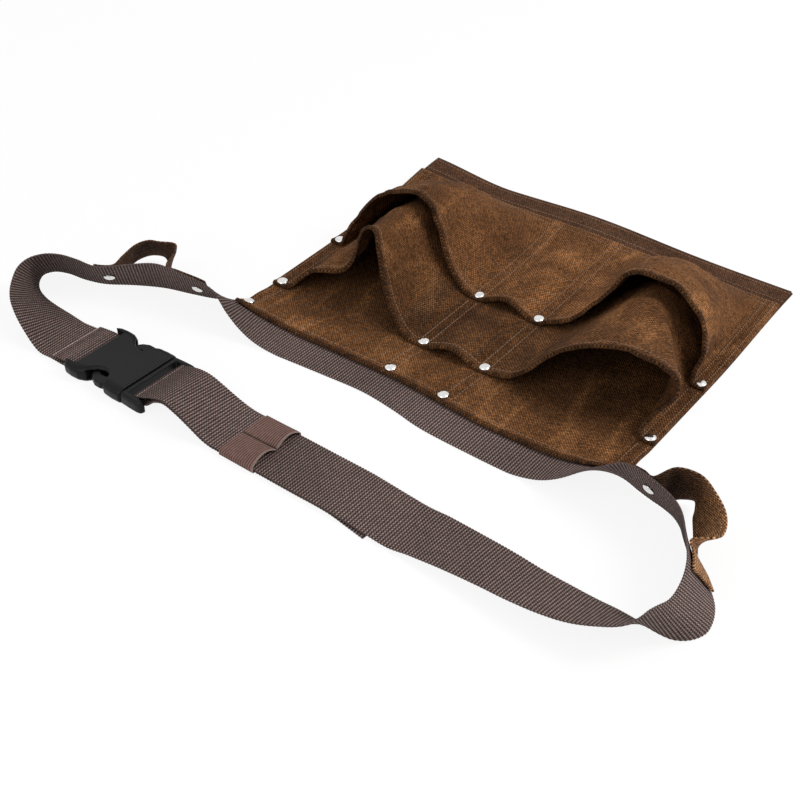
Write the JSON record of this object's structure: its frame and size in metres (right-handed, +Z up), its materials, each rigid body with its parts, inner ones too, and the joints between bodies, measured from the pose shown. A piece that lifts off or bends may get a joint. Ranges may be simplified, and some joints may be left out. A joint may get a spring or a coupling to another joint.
{
  "type": "tool belt",
  "caption": "Carpenter's waist tool belt: waxed canvas pocket apron riveted to webbing with a side-release buckle, hammer loops and an elastic keeper.",
  "frame": {"origin": "underside of the webbing at the middle of the apron's belt edge", "axes": "+X along the belt edge of the apron, +Y from the belt edge towards the bottom hem, +Z up from the surface it lies on"},
  "size_m": [0.6421, 0.4489, 0.0692],
  "materials": {
    "waxed_canvas": "heavy waxed canvas, mottled brown",
    "dark_twill": "dark brown twill binding",
    "brown_webbing": "ribbed polyester webbing, grey brown",
    "brown_elastic": "ribbed elastic, light brown",
    "black_plastic": "moulded black plastic, satin",
    "nickel": "bright nickel plate"
  },
  "bodies": {
    "belt": {"back_panel": "waxed_canvas", "belt_webbing": "brown_webbing", "female_housing": "black_plastic", "front_pocket_panel": "waxed_canvas", "hem_strip": "dark_twill", "left_hammer_loop": "waxed_canvas", "middle_pocket_panel": "waxed_canvas", "right_hammer_loop": "waxed_canvas", "rivet_base_a1": "nickel", "rivet_base_a2": "nickel", "rivet_base_a3": "nickel", "rivet_base_a4": "nickel", "rivet_base_b1": "nickel", "rivet_base_b2": "nickel", "rivet_base_b3": "nickel", "rivet_base_b4": "nickel", "rivet_base_c1": "nickel", "rivet_base_c2": "nickel", "rivet_base_c3": "nickel", "rivet_base_c4": "nickel", "rivet_base_left_loop_1": "nickel", "rivet_base_left_loop_2": "nickel", "rivet_base_right_loop_1": "nickel", "rivet_base_right_loop_2": "nickel", "rivet_cap_a1": "nickel", "rivet_cap_a2": "nickel", "rivet_cap_a3": "nickel", "rivet_cap_a4": "nickel", "rivet_cap_b1": "nickel", "rivet_cap_b2": "nickel", "rivet_cap_b3": "nickel", "rivet_cap_b4": "nickel", "rivet_cap_c1": "nickel", "rivet_cap_c2": "nickel", "rivet_cap_c3": "nickel", "rivet_cap_c4": "nickel", "rivet_cap_left_loop_1": "nickel", "rivet_cap_left_loop_2": "nickel", "rivet_cap_right_loop_1": "nickel", "rivet_cap_right_loop_2": "nickel"},
    "male_half": {"male_frame": "black_plastic"},
    "near_prong": {"prong_near": "black_plastic"},
    "far_prong": {"prong_far": "black_plastic"},
    "keeper_band": {"keeper": "brown_elastic"}
  },
  "joints": [
    {"name": "buckle_release", "type": "slide", "parent": "belt", "child": "male_half", "axis": [0.999, -0.0454, 0], "range_m": [0, 0.048], "deforming": ["belt_webbing", "prong_near", "prong_far"]},
    {"name": "near_prong_flex", "type": "hinge", "parent": "male_half", "child": "near_prong", "pos_m": [-0.16715, -0.13633, 0.0066], "axis": [0, 0, -1], "range_deg": [0, 8], "stiffness_Nm_per_rad": 0.5},
    {"name": "far_prong_flex", "type": "hinge", "parent": "male_half", "child": "far_prong", "pos_m": [-0.16538, -0.09737, 0.0066], "axis": [0, 0, 1], "range_deg": [0, 8], "stiffness_Nm_per_rad": 0.5},
    {"name": "keeper_slide", "type": "slide", "parent": "belt", "child": "keeper_band", "axis": [0.999, -0.0454, 0], "range_m": [-0.006, 0.055]}
  ]
}
